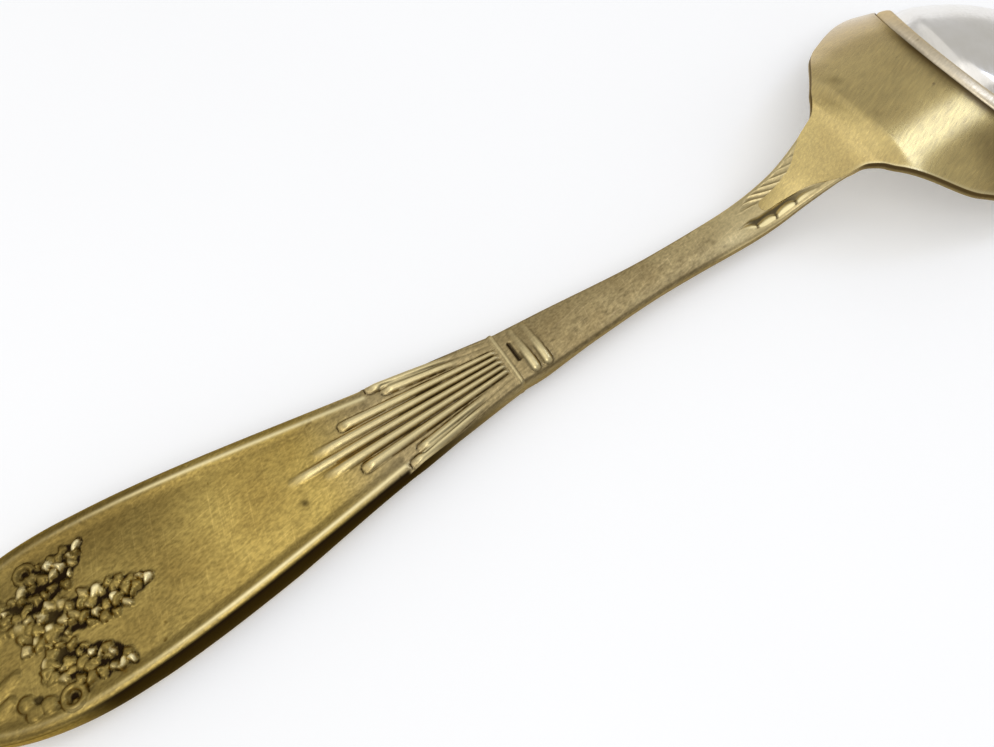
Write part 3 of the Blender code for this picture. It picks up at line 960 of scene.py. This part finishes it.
# Handle
def wear(x, y):
    """Small worn pits on the stem and at the tips of the reeds."""
    dark = np.zeros_like(y)
    for seed, count, along, aside, deepest in WEAR:
        chance = np.random.default_rng(seed)
        for _ in range(count):
            place = chance.uniform(*along)
            side = chance.uniform(*aside)
            radius = chance.uniform(*WEAR_RADII)
            depth = deepest * chance.uniform(*WEAR_SHARES)
            dark = np.maximum(dark, depth * bell(np.hypot((x - place) / WEAR_STRETCH, y - side), radius))
    return dark


def wall_shades(x):
    """Painted shade along the far and the near wall of the handle."""
    both = blend(END_SHADE, 1.0, rise(x, END_SHADE_RUN))
    far = both * fall(x, FAR_SHADE_FADE)
    near = both * (1.0 - NEAR_SHADE_LOSS * rise(x, NEAR_SHADE_FADE))
    return far, near


def edge_shade(x, y, inside):
    """Painted shade on the outer slope of the border and along the edges of the stem."""
    far, near = wall_shades(x)
    far_edge = FAR_EDGE_SHADE * far * (1.0 - smooth(inside / (border_round(y) - FAR_EDGE_CLEAR)))
    near_edge = near * fall(inside, NEAR_EDGE_RUN) * bordered(x)
    border = blend(near_edge, far_edge, far_share(y))
    stem = rise(x, STEM_SHADE_START) * fall(x, STEM_SHADE_END)
    return np.maximum(border, STEM_EDGE_SHADE * stem * fall(inside, STEM_EDGE_RUN))


def handle_grime_and_shade(x, y, relief, polish_and_highlight):
    """Grime and painted shade on the handle's back, apart from the dark of its ornament."""
    inside = edge_distance(x, y)
    hollow = np.clip((blurred(relief, HOLLOW_REACH) - relief) / HOLLOW_DEPTH, 0.0, 1.0)
    hollow = np.where(x < SPRAYS_END, SPRAY_HOLLOW_GRIME, HOLLOW_GRIME) * hollow
    # painted shade in the cove inside the border, deeper on the far side
    cove = (COVE_SHADE + FAR_COVE_SHADE * rise(y, FAR_COVE_RUN)) * bordered(x)
    cove = cove * bell(inside - border_round(y) - COVE_AT, COVE_HALF)
    # the panel darker towards the handle's end, and a painted shadow of the far border over the panel's far
    # side
    shade = FAR_PANEL_SHADE * rise(y, FAR_PANEL_RUN) * fall(x, FAR_PANEL_FADE)
    shade = (panel_shade(x) + shade) * (1.0 - polish_and_highlight)
    stain = STAIN_GRIME * bell(np.hypot(x - STAIN_AT[0], y - STAIN_AT[1]), STAIN_RADIUS)
    return np.maximum.reduce((hollow, edge_shade(x, y, inside), cove, shade, stain, wear(x, y)))


def handle_polish_and_highlight(x, y, shine):
    """Bright metal on the crests of the ornament, painted highlights on some buds, on the leaves and along
    the border's worn crest, and painted light on the stem towards the neck.
    """
    # painted highlight along the border's crest, which is also worn bright
    crest = bell(edge_distance(x, y) - border_round(y), CREST_HALF) * bordered(x)
    crest = crest * blend(CREST_END_SHARE, 1.0, rise(x, CREST_RUN))
    # painted light: the stem brightens towards the neck
    return np.maximum.reduce((shine, crest, STEM_LIGHTENING * rise(x, STEM_LIGHTENING_RUN)))


def handle_back(x):
    """Sides, heights, grime and painted shade, polish and painted highlights of the handle's back."""
    turn = np.linspace(-1.0, 1.0, HANDLE_COLUMNS)
    v = blend(turn, crowded_sides(HANDLE_COLUMNS), EDGE_CROWDING)[None, :]
    y = half_width(x) * v
    x = np.broadcast_to(x, y.shape)
    relief, dark, shine = ornament(x, y)
    in_pocket = (np.abs(y) < tongue_half(x) - TONGUE_LAP) & (x > TONGUE_TIP + TONGUE_LAP)
    z = back_height(x, v) + np.where(in_pocket, -POCKET_DEPTH, relief)
    polish_and_highlight = handle_polish_and_highlight(x, y, shine)
    return y, z, np.maximum(dark, handle_grime_and_shade(x, y, relief, polish_and_highlight)), polish_and_highlight


def handle_underside(x, tuck):
    """Sides, heights and grime of the handle's underside, which is hollow where the back is raised."""
    v = np.linspace(1.0, -1.0, UNDER_COLUMNS)[None, :]
    y = half_width(x) * v
    wide_x = np.broadcast_to(x, y.shape)
    relief, dark, _ = ornament(wide_x, y)
    plain = np.maximum(back_height(wide_x, v) - handle_thickness(wide_x), 0.0)
    z = plain + UNDER_ECHO * np.clip(UNDER_LEVEL - relief, 0.0, UNDER_DEPTH)
    return (half_width(x) - tuck) * v, z, np.maximum(UNDER_RELIEF_GRIME * dark, UNDER_GRIME)


def make_handle():
    turns = np.radians(np.linspace(*HANDLE_END_TURNS))
    end = HANDLE_WIDEST_AT - HANDLE_END_ROUND * np.sin(turns)
    x = np.concatenate([end[:-1], stepped(end[-1], HANDLE_ROWS)])[:, None]
    tuck = STEM_TUCK * rise(x, STEM_TUCK_RUN) * (1.0 - STEM_TUCK_LOSS * rise(x, STEM_TUCK_FADE))
    top_y, top_z, grime_and_shade, polish_and_highlight = handle_back(x)
    under_y, under_z, under_grime = handle_underside(x, tuck)

    share = np.array(WALL_SHARES)[None, :]
    swelling = blend(WALL_SWELL, WALL_END_SWELL, rise(x, WALL_SWELL_FADE))
    swelling = swelling * np.minimum(half_width(x) / NARROW_HALF, 1.0) * np.sin(math.pi * share)
    far_y = half_width(x) + swelling - tuck * share ** STEM_TUCK_POWER
    far_z = blend(top_z[:, -1:], under_z[:, :1], share)
    near_z = blend(top_z[:, :1], under_z[:, -1:], share)
    loop_y = np.concatenate([top_y, far_y, under_y, -far_y[:, ::-1]], axis=1)
    loop_z = np.concatenate([top_z, far_z, under_z, near_z[:, ::-1]], axis=1)
    loops = np.stack([np.broadcast_to(x, loop_y.shape), loop_y, loop_z], axis=-1)

    # painted shade on the walls, darker at the top of the stem's walls
    _, near_shade = wall_shades(x)
    walls = np.maximum(near_shade, STEM_WALL_SHADE * rise(x, STEM_SHADE_START) * (1.0 - share))
    # the walls grow paler towards the stem
    wall_paling = np.broadcast_to(WALL_PALING * rise(x, WALL_PALING_RUN), walls.shape)
    grimes_and_shades = np.concatenate([grime_and_shade, FAR_WALL_SHADE * walls, under_grime, walls[:, ::-1]], axis=1)
    polishes_and_highlights = np.concatenate([polish_and_highlight, wall_paling, np.zeros_like(under_grime), wall_paling], axis=1)
    pales = np.broadcast_to(rise(x, PALE_RUN), polishes_and_highlights.shape)
    return looped("handle_struck", loops, {"grime_and_shade": grimes_and_shades, "polish_and_highlight": polishes_and_highlights, "pale": pales})


# Cradle, bowl and wire
def lip_places(v):
    """Where the slanting lip of the cradle crosses each line along the back."""
    near = np.full_like(v, LIP_AT - 1.0)
    far = np.full_like(v, TIP_AT)
    for _ in range(LIP_HALVINGS):
        x = (near + far) / 2.0
        fallen = (CREST_HEIGHT - back_height(x, v)) / (CREST_HEIGHT - RIM_HEIGHT)
        short = x < LIP_AT + LIP_SWEEP * fallen
        near = np.where(short, x, near)
        far = np.where(short, far, x)
    return (near + far) / 2.0


def cradle_back(v):
    """Rows of the cradle's back from the tip of its tongue to its lip."""
    tip = TONGUE_TIP + TONGUE_TIP_RADIUS * (1.0 - np.cos(np.radians(TONGUE_TIP_TURNS)))
    tongue = np.linspace(TONGUE_TIP + TONGUE_TIP_RADIUS + TONGUE_ROW_GAP, STEM_END, TONGUE_ROWS)
    rows = []
    for x in np.concatenate([tip, tongue]):
        rows.append(back_points(x, v * float(tongue_half(x) / half_width(x))))
    for x in np.linspace(STEM_END, RAMP_END, NECK_ROWS)[1:]:
        rows.append(back_points(x, v))
    lips = lip_places(v)
    for share in np.linspace(0.0, 1.0, HEEL_ROWS)[1:]:
        rows.append(back_points(blend(RAMP_END, lips, share), v))
    back = np.array(rows)
    back[..., 2] += TONGUE_PROUD * fall(back[..., 0], TONGUE_PROUD_FADE)
    return back


def cradle_grime_and_shade(back, v):
    """Painted shade along the edges, before the lip and on the near flank of the cradle, and its stains."""
    x = back[..., 0]
    y = back[..., 1]
    edges = np.zeros(x.shape)
    # painted shade along the cradle's edges, before its lip and on its near flank
    edges[:, (0, -1)] = CRADLE_EDGE_SHADE
    from_lip = np.linalg.norm(back - back[-1:], axis=-1)
    lip = LIP_SHADE * bell(from_lip, LIP_SHADE_REACH) * (1.0 - FAR_LIP_LOSS * rise(v, FAR_LIP_RUN))
    lip = lip * (1.0 - NEAR_LIP_LOSS * rise(-v, NEAR_LIP_RUN))
    flank = FLANK_SHADE * rise(x, FLANK_START) * fall(x, FLANK_END) * rise(-v, FLANK_SIDE)
    grime_and_shade = np.maximum.reduce((edges, lip, flank))
    for place, side, radius, depth in HEEL_STAINS:
        grime_and_shade = np.maximum(grime_and_shade, depth * bell(np.hypot(x - place, y - side), radius))
    return grime_and_shade


def make_cradle():
    v = crowded_sides(CRADLE_COLUMNS)
    back = cradle_back(v)
    x = back[..., 0]
    edge_x = x[:, :1]
    turned = blend(TONGUE_RIM_DEPTH, CRADLE_RIM_DEPTH, rise(edge_x, RIM_TURN_RUN))
    down = np.stack([np.zeros_like(turned), np.zeros_like(turned), turned], axis=-1)
    near_rim = [back[:, :1] - share * down for share in RIM_SHARES]
    far_rim = [back[:, -1:] - share * down for share in RIM_SHARES[::-1]]
    top = np.concatenate(near_rim + [back] + far_rim, axis=1)

    # painted shade on the walls of the rim
    rim = RIM_SHADE * rise(edge_x, RIM_PAINT_RUN) * (1.0 - RIM_SHADE_LOSS * rise(edge_x, RIM_SHADE_FADE))
    rims = [RIM_FOOT_SHADE * rim, rim, rim]
    grime_and_shade = np.concatenate(rims + [cradle_grime_and_shade(back, v)] + rims[::-1], axis=1)
    from_edge = half_width(x) - np.abs(back[..., 1])
    # painted highlight along the near edge of the cradle
    polish_and_highlight = RIM_HIGHLIGHT * bell(from_edge, RIM_HIGHLIGHT_REACH) * rise(x, RIM_PAINT_RUN) * (v < 0.0)
    polish_and_highlight = np.pad(polish_and_highlight, ((0, 0), (len(RIM_SHARES), len(RIM_SHARES))))
    return shell("cradle_shell", top, CRADLE_THICKNESS, {"grime_and_shade": grime_and_shade, "polish_and_highlight": polish_and_highlight})


def make_bowl():
    """The bowl lies under the cradle, and steps up level with it beyond the seam wire."""
    tip = BOWL_WIDEST_AT + TIP_ROUND * np.sin(np.radians(np.linspace(0.0, BOWL_TIP_TURN, BOWL_ROWS)))
    x = np.concatenate([np.linspace(BOWL_BACK, BOWL_WIDEST_AT, BOWL_ROWS)[:-1], tip])
    v = crowded_sides(BOWL_COLUMNS)
    lip = back_points(lip_places(v), v)
    plain = back_points(x[:, None], v[None, :])
    from_lip = np.linalg.norm(plain[:, :, None, :] - lip[None, None, ::2, :], axis=-1).min(axis=-1)
    beyond = np.where(plain[..., 0] > lip[None, :, 0], from_lip, 0.0)
    free = smooth((beyond - WIRE_HALF_WIDTH) / BOWL_RISE)
    drawn_in = BOWL_SETBACK * (1.0 - smooth((x - CREST_AT) / (RIM_LEVEL_AT - CREST_AT)))
    drawn_in = drawn_in + BOWL_BACK_ROUND * fall(x, BOWL_BACK_RUN)
    outer = back_points(x[:, None], v[None, :] * (1.0 - drawn_in[:, None]))
    offset = blend(CRADLE_THICKNESS + JOINT_GAP, BOWL_STEP, free)
    top = outer - grid_normals(outer) * offset[..., None]
    return shell("bowl_shell", top, BOWL_THICKNESS, {})


def make_wire():
    v = np.linspace(-WIRE_REACH, WIRE_REACH, WIRE_ROWS)
    x = lip_places(v)
    path = back_points(x, v)
    run = back_points(x + WIRE_ALONG, v) - back_points(x - WIRE_ALONG, v)
    across = back_points(x, v + WIRE_ASIDE) - back_points(x, v - WIRE_ASIDE)
    normal = np.cross(run, across)
    normal /= np.linalg.norm(normal, axis=-1, keepdims=True)
    forward = np.cross(np.gradient(path, axis=0), normal)
    forward /= np.linalg.norm(forward, axis=-1, keepdims=True)
    centre = path + forward * (WIRE_GAP + WIRE_HALF_WIDTH) - normal * (WIRE_HALF_HEIGHT - WIRE_PROUD)
    turns = np.linspace(0.0, 2.0 * math.pi, WIRE_SIDES, endpoint=False)
    flat = np.stack([np.cos(turns), np.sin(turns)])
    flat = np.sign(flat) * np.abs(flat) ** WIRE_SQUARENESS
    to_end = (WIRE_REACH * WIRE_TIP_REACH - np.abs(v)) / WIRE_TAPER
    ends = np.sqrt(np.clip(to_end, WIRE_TIP, 1.0))[:, None, None]
    side = forward[:, None, :] * (WIRE_HALF_WIDTH * flat[0])[None, :, None]
    upward = normal[:, None, :] * (WIRE_HALF_HEIGHT * flat[1])[None, :, None]
    loops = centre[:, None, :] + (side + upward) * ends
    # painted shade on the wire's front and back sides, where it meets the lip and the bowl
    grime_and_shade = np.broadcast_to(WIRE_SHADE * np.abs(flat[0]) ** WIRE_SHADE_POWER, loops.shape[:2])
    return looped("seam_tube", loops, {"grime_and_shade": grime_and_shade})


# Materials
def new_material(name):
    material = bpy.data.materials.new(name)
    material.use_nodes = True
    tree = material.node_tree
    return material, tree, tree.nodes["Principled BSDF"]


def set_values(node, values):
    for key, value in values.items():
        node.inputs[key].default_value = value


def noise(tree, scale, detail, stretch=1.0, turn=0.0):
    """Noise over the object, stretched along one direction."""
    place = tree.nodes.new("ShaderNodeTexCoord")
    mapping = tree.nodes.new("ShaderNodeMapping")
    mapping.vector_type = "TEXTURE"
    set_values(mapping, {"Rotation": (0.0, 0.0, math.radians(turn)), "Scale": (stretch, 1.0, 1.0)})
    texture = tree.nodes.new("ShaderNodeTexNoise")
    set_values(texture, {"Scale": scale, "Detail": detail})
    tree.links.new(place.outputs["Object"], mapping.inputs["Vector"])
    tree.links.new(mapping.outputs["Vector"], texture.inputs["Vector"])
    return texture.outputs["Fac"]


def ramp(tree, value, stops):
    made = tree.nodes.new("ShaderNodeValToRGB")
    for element, (position, colour) in zip(made.color_ramp.elements, stops):
        element.position = position
        element.color = (*colour, 1.0)
    tree.links.new(value, made.inputs["Fac"])
    return made.outputs["Color"]


def in_range(tree, value, source, target):
    made = tree.nodes.new("ShaderNodeMapRange")
    set_values(made, {"From Min": source[0], "From Max": source[1], "To Min": target[0], "To Max": target[1]})
    tree.links.new(value, made.inputs["Value"])
    return made.outputs["Result"]


def larger(tree, first, second):
    made = tree.nodes.new("ShaderNodeMath")
    made.operation = "MAXIMUM"
    made.use_clamp = True
    tree.links.new(first, made.inputs[0])
    tree.links.new(second, made.inputs[1])
    return made.outputs["Value"]


def mixed(tree, factor, first, second, mode="MIX"):
    made = tree.nodes.new("ShaderNodeMix")
    made.data_type = "RGBA"
    made.blend_type = mode
    if isinstance(factor, float):
        made.inputs[MIX_FACTOR].default_value = factor
    else:
        tree.links.new(factor, made.inputs[MIX_FACTOR])
    tree.links.new(first, made.inputs[MIX_FIRST])
    if isinstance(second, tuple):
        made.inputs[MIX_SECOND].default_value = (*second, 1.0)
    else:
        tree.links.new(second, made.inputs[MIX_SECOND])
    return made.outputs[MIX_RESULT]


def attribute(tree, name):
    made = tree.nodes.new("ShaderNodeAttribute")
    made.attribute_name = name
    return made.outputs["Fac"]


def brass(name, bright, tarnish, dark, mottling, drag, roughness, scratch_turns, lacquer=0.0):
    """Worn brass: tarnish, mottling, specks and scratches, with polish and painted highlights, and grime and
    painted shade, where the piece has them.
    """
    material, tree, shader = new_material(name)
    set_values(shader, {"Metallic": 1.0, "Specular Tint": EDGE_TINT})
    colour = ramp(tree, noise(tree, CLOUD_SCALE, 4.0), tuple(zip(CLOUD_RANGE, (tarnish, bright))))
    colour = mixed(tree, attribute(tree, "pale"), colour, PALE_TINT, "MULTIPLY")
    grain = noise(tree, GRAIN_SCALE, 4.0, drag, scratch_turns[0])
    tones = ((1.0 - mottling,) * 3, (1.0 + mottling,) * 3)
    mottle = ramp(tree, grain, tuple(zip(GRAIN_RANGE, tones)))
    colour = mixed(tree, 1.0, colour, mottle, "MULTIPLY")
    specks = ramp(tree, noise(tree, SPECK_SCALE, 2.0), SPECK_TONES)
    colour = mixed(tree, 1.0, colour, specks, "MULTIPLY")
    for turn in scratch_turns:
        scratches = ramp(tree, noise(tree, SCRATCH_SCALE, 1.0, SCRATCH_STRETCH, turn), SCRATCH_TONES)
        colour = mixed(tree, 1.0, colour, scratches, "MULTIPLY")
    # the polish attribute holds worn bright metal and painted highlights, mixed towards the shine colour
    colour = mixed(tree, attribute(tree, "polish_and_highlight"), colour, SHINE)
    # the grime attribute holds real grime and painted shade, mixed towards the dark colour
    grime_and_shade = attribute(tree, "grime_and_shade")
    tree.links.new(mixed(tree, grime_and_shade, colour, dark), shader.inputs["Base Color"])
    gloss = in_range(tree, grain, GRAIN_RANGE, roughness)
    dull = in_range(tree, grime_and_shade, (0.0, 1.0), (0.0, GRIME_ROUGHNESS))
    tree.links.new(larger(tree, gloss, dull), shader.inputs["Roughness"])
    bump = tree.nodes.new("ShaderNodeBump")
    set_values(bump, {"Strength": BUMP_STRENGTH, "Distance": BUMP_METRES})
    tree.links.new(grain, bump.inputs["Height"])
    tree.links.new(bump.outputs["Normal"], shader.inputs["Normal"])
    if lacquer:
        tree.links.new(in_range(tree, grime_and_shade, (0.0, 1.0), (lacquer, 0.0)), shader.inputs["Coat Weight"])
        set_values(shader, {"Coat IOR": LACQUER_IOR, "Coat Roughness": LACQUER_ROUGHNESS})
    return material


def silver():
    """Polished plate with faint tarnish and wiping marks."""
    material, tree, shader = new_material("silver_plate")
    set_values(shader, {"Metallic": 1.0})
    tone = ramp(tree, noise(tree, SILVER_SCALE, 4.0), SILVER_TONES)
    tree.links.new(tone, shader.inputs["Base Color"])
    wiping = noise(tree, WIPING_SCALE, 2.0, WIPING_STRETCH, WIPING_TURN)
    tree.links.new(in_range(tree, wiping, GRAIN_RANGE, WIPING_ROUGHNESS), shader.inputs["Roughness"])
    return material


def floor_material():
    material, tree, shader = new_material("pale_floor")
    tree.links.new(ramp(tree, noise(tree, FLOOR_SCALE, 3.0), FLOOR_TONES), shader.inputs["Base Color"])
    set_values(shader, {"Roughness": FLOOR_ROUGHNESS})
    set_values(shader, {"Emission Color": (*WHITE, 1.0), "Emission Strength": FLOOR_GLOW})
    return material


# Stage
def make_floor():
    mesh = bpy.data.meshes.new("floor")
    turns = ((-1.0, -1.0), (1.0, -1.0), (1.0, 1.0), (-1.0, 1.0))
    corners = [(FLOOR_HALF * along, FLOOR_HALF * aside, 0.0) for along, aside in turns]
    mesh.from_pydata(corners, [], [(0, 1, 2, 3)])
    floor = bpy.data.objects.new("floor", mesh)
    floor.location.z = -FLOOR_DROP
    bpy.context.scene.collection.objects.link(floor)
    mesh.materials.append(floor_material())


def area_light(name, shape, power, place, size):
    data = bpy.data.lights.new(name, "AREA")
    data.shape = shape
    data.energy = power
    data.size = size[0]
    data.size_y = size[1]
    light = bpy.data.objects.new(name, data)
    light.location = place
    bpy.context.scene.collection.objects.link(light)
    return light


def make_lights():
    world = bpy.data.worlds.new("studio")
    bpy.context.scene.world = world
    world.use_nodes = True
    sky = world.node_tree.nodes["Background"]
    set_values(sky, {"Color": (*WHITE, 1.0), "Strength": SKY_STRENGTH})
    for azimuth, elevation, width, height, power, colour in LIGHTS:
        turn = math.radians(azimuth)
        lift = math.radians(elevation)
        toward = Vector((math.cos(lift) * math.cos(turn), math.cos(lift) * math.sin(turn), math.sin(lift)))
        light = area_light("softbox", "ELLIPSE", power, toward * LIGHT_DISTANCE, (width, height))
        light.data.color = colour
        light.rotation_euler = (-toward).to_track_quat("-Z", "Y").to_euler()
    area_light("strip", "RECTANGLE", STRIP_POWER, STRIP_PLACE, STRIP_SIZE)


def make_camera():
    data = bpy.data.cameras.new("camera")
    data.lens = CAMERA_LENS
    data.sensor_width = CAMERA_SENSOR
    data.clip_start = CAMERA_CLIP
    camera = bpy.data.objects.new("camera", data)
    right = Vector(CAMERA_RIGHT)
    up = Vector(CAMERA_UP)
    matrix = Matrix((right, up, right.cross(up))).transposed().to_4x4()
    matrix.translation = Vector(CAMERA_PLACE) * MM
    camera.matrix_world = matrix
    bpy.context.scene.collection.objects.link(camera)
    bpy.context.scene.camera = camera
    bpy.context.scene.view_settings.view_transform = "Standard"


def main():
    make_camera()
    make_lights()
    make_floor()
    handle_brass = brass(
        "brass_struck",
        bright=(0.53, 0.385, 0.108),
        tarnish=(0.41, 0.285, 0.075),
        dark=(0.02, 0.011, 0.005),
        mottling=0.26,
        drag=2.0,
        roughness=(0.42, 0.3),
        scratch_turns=(12.0, 77.0),
    )
    cradle_brass = brass(
        "brass_cradle",
        bright=(0.57, 0.43, 0.14),
        tarnish=(0.46, 0.335, 0.1),
        dark=(0.06, 0.034, 0.012),
        mottling=0.15,
        drag=7.0,
        roughness=(0.28, 0.24),
        scratch_turns=(20.0,),
        lacquer=0.8,
    )
    wire_brass = brass(
        "brass_wire",
        bright=(0.8, 0.7, 0.52),
        tarnish=(0.72, 0.62, 0.45),
        dark=(0.2, 0.15, 0.08),
        mottling=0.1,
        drag=3.0,
        roughness=(0.42, 0.34),
        scratch_turns=(10.0,),
    )
    pieces = (
        (make_handle(), "handle", "handle_brass", handle_brass),
        (make_cradle(), "heel_cradle", "cradle_brass", cradle_brass),
        (make_bowl(), "bowl", "bowl_plate", silver()),
        (make_wire(), "seam_wire", "wire_brass", wire_brass),
    )
    for piece, node, slot, material in pieces:
        piece.data.materials.append(material)
        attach(piece, "root")
        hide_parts(node)


main()
